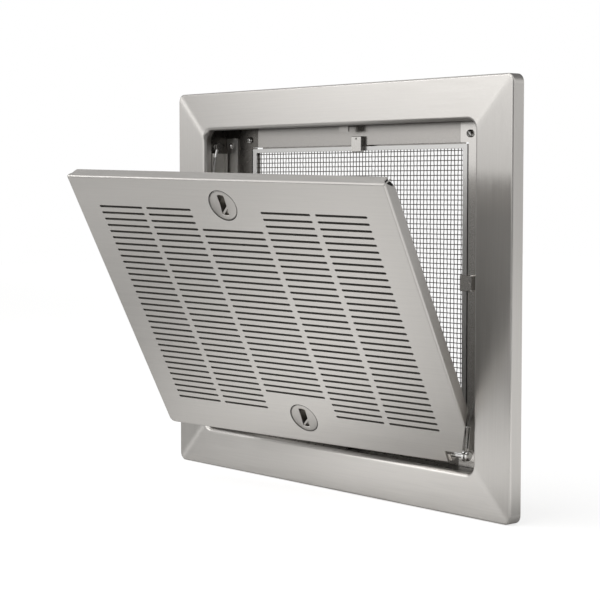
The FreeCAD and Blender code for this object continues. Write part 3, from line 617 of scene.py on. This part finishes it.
def buildBacking():
    # a rectangle whose bottom and top edges bow in round the ring nuts, as arcs about the locks' centres
    half, low, high, clear = (backingPlace[key] for key in ("halfWidthMm", "lowMm", "highMm", "clearMm"))
    outline = [(-half, low)]
    rise = math.asin((low - lockPlace["bottomMm"]) / clear)
    for angle in np.linspace(math.pi - rise, rise, backingPlace["arcPoints"]):
        outline.append((clear * math.cos(angle), lockPlace["bottomMm"] + clear * math.sin(angle)))
    outline += [(half, low), (half, high)]
    rise = math.asin((lockPlace["topMm"] - high) / clear)
    for angle in np.linspace(rise, math.pi - rise, backingPlace["arcPoints"]):
        outline.append((clear * math.cos(angle), lockPlace["topMm"] - clear * math.sin(angle)))
    outline.append((-half, high))
    front = backingPlace["frontMm"]
    plates = [(outline, 1, front, front + backingPlace["thickMm"])]
    addPlates("door_filter_backing", plates, perforatedAluminium())


buildBacking()
print("backing made")


# locks: rim with a groove round it, a nearly black seal ring in the groove as painted shade for the dark gap round
# the lock, and a core with a key recess that a slanted web crosses

lock = {"spokes": 144, "halfWidthMm": 3.9, "halfLengthMm": 10.8, "cornerTrimMm": 0.7, "turnDegrees": -5.0,
        "recessRings": 16, "innerShare": 0.02, "floorMm": 3.6, "pitMm": 8.4, "pitStepMm": 0.6,
        "mouthMm": 0.75, "bevelMm": 0.28, "faceSinkMm": 0.4,
        "webStartMm": -1.6, "webEndMm": -10.4, "webWideMm": 1.9, "webTopMm": 1.3, "webTuckMm": 0.3}
# profiles of (radius, depth) pairs in millimetres
coreProfile = [(14.45, 0.4), (14.7, 0.5), (14.8, 0.75), (14.8, 9.2), (3.5, 9.2), (3.5, 15.6), (0.2, 15.6)]
rimProfile = [(14.92, 10.0), (14.92, 0.45), (15.0, 0.25), (15.1, 0.2), (15.2, 0.2), (15.32, 0.3),
              (15.36, 0.6), (15.38, 3.0), (16.2, 3.0), (16.22, 10.0), (14.92, 10.0)]
# the seal ring sits in the groove; its near black is painted shade for the dark gap round the lock
shadeSealProfile = [(15.4, 2.2), (15.45, 0.95), (15.6, 0.75), (15.98, 0.75), (16.15, 0.95), (16.2, 2.2),
               (15.4, 2.2)]
spokeAngles = np.arange(lock["spokes"]) / lock["spokes"] * 2 * np.pi


def lathe(name, profile, centreZ, node, body, material):
    # a profile turned about the lock's axis; a node, where one is given, is hidden behind it
    radius, depth = np.array(profile).T[:, :, None]
    deep = lockPlace["faceMm"] + depth + 0 * spokeAngles
    local = np.stack([radius * np.cos(spokeAngles), deep, centreZ + radius * np.sin(spokeAngles)], -1)
    faces = gridFaces(len(profile), lock["spokes"], True)
    piece = makeMesh(name, doorPlace(local.reshape(-1, 3)), faces, material, creaseDegrees=35)
    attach(piece, body)
    if node:
        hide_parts(node)


def coreRings(webFrom, webAim):
    # rings of points from the middle of the recess out to the rim and back to the stem; inside the recess a
    # ring is a share of its outline, which is a rectangle with its corners cut by an arc:
    # reach = the least of half width / |cos a|, half length / |sin a| and half diagonal - trim
    across, up = np.cos(spokeAngles), np.sin(spokeAngles)
    wide, long = lock["halfWidthMm"], lock["halfLengthMm"]
    reach = np.minimum(wide / np.maximum(np.abs(across), 1e-6), long / np.maximum(np.abs(up), 1e-6))
    reach = np.minimum(reach, np.hypot(wide, long) - lock["cornerTrimMm"])

    def pitDepth(x, z):
        # distance to the web's middle line decides between the floor and, on its low side, the pit
        beyond = (x - webFrom[0]) * webAim[1] - (z - webFrom[1]) * webAim[0]
        share = np.clip(-beyond / lock["pitStepMm"] + 0.5, 0, 1)
        return lock["floorMm"] + (lock["pitMm"] - lock["floorMm"]) * (1 - share)

    rings = []
    for share in np.linspace(lock["innerShare"], 1.0, lock["recessRings"]):
        x, z = share * reach * across, share * reach * up
        rings.append((x, pitDepth(x, z), z))
    x, z = reach * across, reach * up
    rings.append((x, np.full_like(x, lock["mouthMm"]), z))
    wider = 1 + lock["bevelMm"] / reach
    rings.append((x * wider, np.full_like(x, lock["faceSinkMm"]), z * wider))
    for radius, depth in coreProfile:
        rings.append((radius * across, np.full_like(spokeAngles, depth), radius * up))
    return rings


def slantedWeb(webFrom, webTo, webAim):
    # a bar without a bottom: its long and short sides and its top, from the pit up
    half = lock["webWideMm"] / 2
    across = np.array((-webAim[1], webAim[0]))
    near, far = webFrom - lock["webTuckMm"] * webAim, webTo + lock["webTuckMm"] * webAim
    points = []
    for depth in (lock["pitMm"], lock["webTopMm"]):
        for end, sign in ((near, 1), (near, -1), (far, -1), (far, 1)):
            place = end + sign * half * across
            points.append((place[0], depth, place[1]))
    faces = [[0, 1, 5, 4], [1, 2, 6, 5], [2, 3, 7, 6], [3, 0, 4, 7], [4, 5, 6, 7]]
    return np.array(points), np.array(faces)


def lockCore(name, centreZ, node, body):
    # the rings and the web as one piece, turned a little about the lock's axis and moved to the lock's place
    webFrom = np.array((lock["halfWidthMm"], lock["webStartMm"]))
    webTo = np.array((-lock["halfWidthMm"], lock["webEndMm"]))
    webAim = (webTo - webFrom) / np.linalg.norm(webTo - webFrom)
    rings = coreRings(webFrom, webAim)
    ringPoints = np.stack([np.stack(ring, -1) for ring in rings]).reshape(-1, 3)
    web, webFaces = slantedWeb(webFrom, webTo, webAim)
    points = np.concatenate([ringPoints, web])
    faces = np.concatenate([gridFaces(len(rings), lock["spokes"], True), webFaces + len(ringPoints)])
    turn = math.radians(lock["turnDegrees"])
    x, z = points[:, 0].copy(), points[:, 2].copy()
    points[:, 0] = x * math.cos(turn) - z * math.sin(turn)
    points[:, 2] = x * math.sin(turn) + z * math.cos(turn) + centreZ
    points[:, 1] += lockPlace["faceMm"]
    piece = makeMesh(name, doorPlace(points), faces, lockSteel, creaseDegrees=30)
    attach(piece, body)
    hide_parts(node)


for end, centreZ in (("top", lockPlace["topMm"]), ("bottom", lockPlace["bottomMm"])):
    lathe("lock_rim_" + end, rimProfile, centreZ, "lock_housing_" + end, "door", lockSteel)
    lathe("lock_shade_seal_" + end, shadeSealProfile, centreZ, None, "door", shadeSeal)
    lockCore("lock_core_face_" + end, centreZ, "lock_core_" + end, end + "_lock")
print("locks made")


# camera, lamps, floor and backdrop

view = {"azimuth": 50.451, "elevation": 3.741, "distance": 1.7676, "aim": (-0.0422, -0.0135, -0.0136),
        "lens": 105.26, "sensor": 36.0, "clip": (0.05, 60.0)}


def buildCamera():
    azimuth, elevation = math.radians(view["azimuth"]), math.radians(view["elevation"])
    back = Vector((math.sin(azimuth) * math.cos(elevation), -math.cos(azimuth) * math.cos(elevation),
                   math.sin(elevation)))
    camera = bpy.data.objects.new("camera", bpy.data.cameras.new("camera"))
    camera.data.lens = view["lens"]
    camera.data.sensor_width = view["sensor"]
    camera.data.clip_start, camera.data.clip_end = view["clip"]
    camera.location = Vector(view["aim"]) + back * view["distance"]
    camera.rotation_euler = (-back).to_track_quat("-Z", "Y").to_euler()
    bpy.context.scene.collection.objects.link(camera)
    bpy.context.scene.camera = camera


# both lamps look at the middle of the wall opening
lamps = [
    {"name": "softboxOverhead", "place": (-0.2, -0.9, 1.9), "size": (2.2, 1.6), "watts": 10.0},
    {"name": "softboxLeft", "place": (-2.0, -2.0, 1.0), "size": (1.2, 1.0), "watts": 8.0},
]


def buildLamps():
    for spec in lamps:
        lamp = bpy.data.lights.new(spec["name"], "AREA")
        lamp.shape = "RECTANGLE"
        lamp.size, lamp.size_y = spec["size"]
        lamp.energy = spec["watts"]
        holder = bpy.data.objects.new(spec["name"], lamp)
        holder.location = spec["place"]
        holder.rotation_euler = (-Vector(spec["place"])).to_track_quat("-Z", "Y").to_euler()
        bpy.context.scene.collection.objects.link(holder)


studio = {
    "skyForLight": 0.30,
    "bandUnderHorizon": 0.17,   # past the table's front edge
    "room": 0.56,               # the room in general
    "softbox": 0.86,            # what the large softbox in front at the left adds
    "rightWall": 0.45,          # and what a pale wall behind at the right adds
    "cameraSide": 0.10,         # the dark room beside the camera
    "behind": 0.22,             # the duct behind the grille
    "floorColour": "#dcdcdb",
    "floorGlow": 0.73,
    "floorGlowFar": 0.80,       # far off, where the lamps reach less, so that no horizon shows
    # painted light and painted shadow: the table's glow for reflected rays only
    "paintedShadowNear": 0.10,          # what the metal sees in the table close to the grille
    "paintedLightFront": 0.74,         # what its bright front adds
    "paintedLightRight": 0.55,         # and its bright part beside the grille
}
# where each part of the room starts and where it is full, by the x, y or z of the direction looked in
roomEdges = {
    "softboxY": (-0.48, -0.82), "softboxX": (0.45, 0.15), "wallX": (0.40, 0.70), "wallY": (-0.10, 0.30),
    "cameraLeft": (0.35, 0.60), "cameraRight": (0.97, 0.88), "cameraY": (0.10, -0.25), "cameraZ": (0.55, 0.2),
    "behindY": (0.2, 0.6), "behindX": (0.65, 0.45), "bandZ": (-0.058, -0.004),
}
# the same for the table's glow, and for its painted light and painted shadow seen in reflections, by the place on
# it in metres; where four numbers stand, the last two are the levels
tableEdges = {
    "glowY": (0.4, 2.6), "nearY": (0.0, -0.13), "nearX": (-0.42, -0.02),
    "nearFadeY": (-0.45, -0.14, 0.66, 1.0), "nearFadeX": (0.18, -0.04, 0.42, 1.0),
    "farY": (-0.26, -0.50, 0.0, 0.8), "farX": (-0.95, -0.30), "rightX": (0.27, 0.42),
}
table = {"halfWidth": 4.5, "front": -0.64, "back": 4.5, "gap": 0.0005}


def ramp(tree, value, low, high, start=0.0, end=1.0):
    # smooth step from start to end as the value goes from low to high: t^2 (3 - 2 t)
    node = addNode(tree, "ShaderNodeMapRange", {1: low, 2: high, 3: start, 4: end}, {0: value},
                   interpolation_type="SMOOTHSTEP")
    return node.outputs[0]


def times(tree, one, two):
    return addNode(tree, "ShaderNodeMath", links={0: one, 1: two}, operation="MULTIPLY").outputs[0]


def buildWorld():
    # the camera sees plain white; metal sees a studio: a bright softbox in front at the left, a mild room
    # behind, a dark band under the horizon and a dark side where the camera stands
    world = bpy.data.worlds.new("studioRoom")
    bpy.context.scene.world = world
    world.use_nodes = True
    tree = world.node_tree
    tree.nodes.clear()
    aim = addNode(tree, "ShaderNodeTexCoord").outputs["Generated"]
    parts = addNode(tree, "ShaderNodeSeparateXYZ", links={0: aim})
    x, y, z = parts.outputs["X"], parts.outputs["Y"], parts.outputs["Z"]
    edges = roomEdges
    softbox = times(tree, ramp(tree, y, *edges["softboxY"]), ramp(tree, x, *edges["softboxX"]))
    room = addNode(tree, "ShaderNodeMath", {1: studio["softbox"], 2: studio["room"]}, {0: softbox},
                   operation="MULTIPLY_ADD").outputs[0]
    wall = times(tree, ramp(tree, x, *edges["wallX"]), ramp(tree, y, *edges["wallY"]))
    room = addNode(tree, "ShaderNodeMath", {1: studio["rightWall"]}, {0: wall, 2: room},
                   operation="MULTIPLY_ADD").outputs[0]
    nearX = times(tree, ramp(tree, x, *edges["cameraLeft"]), ramp(tree, x, *edges["cameraRight"]))
    nearYZ = times(tree, ramp(tree, y, *edges["cameraY"]), ramp(tree, z, *edges["cameraZ"]))
    nearCamera = times(tree, nearX, nearYZ)
    sideways = addNode(tree, "ShaderNodeMath", links={0: x}, operation="ABSOLUTE").outputs[0]
    behind = times(tree, ramp(tree, y, *edges["behindY"]), ramp(tree, sideways, *edges["behindX"]))
    level = room
    for mask, value in ((nearCamera, "cameraSide"), (behind, "behind")):
        level = addNode(tree, "ShaderNodeMix", {3: studio[value]}, {"Factor": mask, 2: level}).outputs[0]
    aboveBand = ramp(tree, z, *edges["bandZ"])
    level = addNode(tree, "ShaderNodeMix", {2: studio["bandUnderHorizon"]},
                    {"Factor": aboveBand, 3: level}).outputs[0]
    path = addNode(tree, "ShaderNodeLightPath")
    seen = addNode(tree, "ShaderNodeBackground", {"Color": (1, 1, 1, 1), "Strength": 1.0})
    gloss = addNode(tree, "ShaderNodeBackground", {"Color": (1, 1, 1, 1)}, {"Strength": level})
    light = addNode(tree, "ShaderNodeBackground", {"Color": (1, 1, 1, 1), "Strength": studio["skyForLight"]})
    lit = addNode(tree, "ShaderNodeMixShader", links={0: path.outputs["Is Glossy Ray"], 1: light.outputs[0],
                                                      2: gloss.outputs[0]})
    shown = addNode(tree, "ShaderNodeMixShader", links={0: path.outputs["Is Camera Ray"], 1: lit.outputs[0],
                                                        2: seen.outputs[0]})
    addNode(tree, "ShaderNodeOutputWorld", links={"Surface": shown.outputs[0]})


def buildFloor():
    # pale table under the surround, which keeps the shadow; the camera sees it lifted to the white of the
    # backdrop, and its front edge is near enough for the metal to see the dark band beyond it; reflected rays
    # see it glow, brighter at its front and at the right as painted light, dimmer close to the grille as painted
    # shadow
    material = bpy.data.materials.new("floorPaleMattPaintedGlow")
    material.use_nodes = True
    tree = material.node_tree
    tree.nodes.clear()
    path = addNode(tree, "ShaderNodeLightPath")
    matt = addNode(tree, "ShaderNodeBsdfDiffuse", {"Color": linearColour(studio["floorColour"])})
    place = addNode(tree, "ShaderNodeTexCoord").outputs["Object"]
    parts = addNode(tree, "ShaderNodeSeparateXYZ", links={0: place})
    x, y, edges = parts.outputs["X"], parts.outputs["Y"], tableEdges
    lift = ramp(tree, y, *edges["glowY"], studio["floorGlow"], studio["floorGlowFar"])
    glow = addNode(tree, "ShaderNodeEmission", links={"Strength": lift})
    # painted light and painted shadow for reflected rays: dim close to the grille, bright at the front and at the
    # right
    near = times(tree, ramp(tree, y, *edges["nearY"]), ramp(tree, x, *edges["nearX"]))
    near = times(tree, near, ramp(tree, y, *edges["nearFadeY"]))
    near = times(tree, near, ramp(tree, x, *edges["nearFadeX"]))
    far = times(tree, ramp(tree, y, *edges["farY"]), ramp(tree, x, *edges["farX"]))
    front = addNode(tree, "ShaderNodeMath", links={0: near, 1: far}, operation="MAXIMUM").outputs[0]
    shine = addNode(tree, "ShaderNodeMath", {1: studio["paintedLightFront"], 2: studio["paintedShadowNear"]}, {0: front},
                    operation="MULTIPLY_ADD")
    right = ramp(tree, x, *edges["rightX"])
    shine = addNode(tree, "ShaderNodeMath", {1: studio["paintedLightRight"]}, {0: right, 2: shine.outputs[0]},
                    operation="MULTIPLY_ADD")
    paintedReflectionGlow = addNode(tree, "ShaderNodeEmission", links={"Strength": shine.outputs[0]})
    both = addNode(tree, "ShaderNodeAddShader", links={0: matt.outputs[0], 1: glow.outputs[0]})
    lifted = addNode(tree, "ShaderNodeAddShader", links={0: matt.outputs[0], 1: paintedReflectionGlow.outputs[0]})
    metal = addNode(tree, "ShaderNodeMixShader", links={0: path.outputs["Is Glossy Ray"], 1: matt.outputs[0],
                                                        2: lifted.outputs[0]})
    shown = addNode(tree, "ShaderNodeMixShader", links={0: path.outputs["Is Camera Ray"], 1: metal.outputs[0],
                                                        2: both.outputs[0]})
    addNode(tree, "ShaderNodeOutputMaterial", links={"Surface": shown.outputs[0]})
    height, half = cadLow.z - table["gap"], table["halfWidth"]
    corners = np.array([(-half, table["front"], height), (half, table["front"], height),
                        (half, table["back"], height), (-half, table["back"], height)])
    floor = makeMesh("studio_floor", corners, np.array([[0, 1, 2, 3]]), material, smooth=False)


buildCamera()
buildLamps()
buildWorld()
buildFloor()
bpy.context.scene.view_settings.view_transform = "Standard"
print("studio ready")
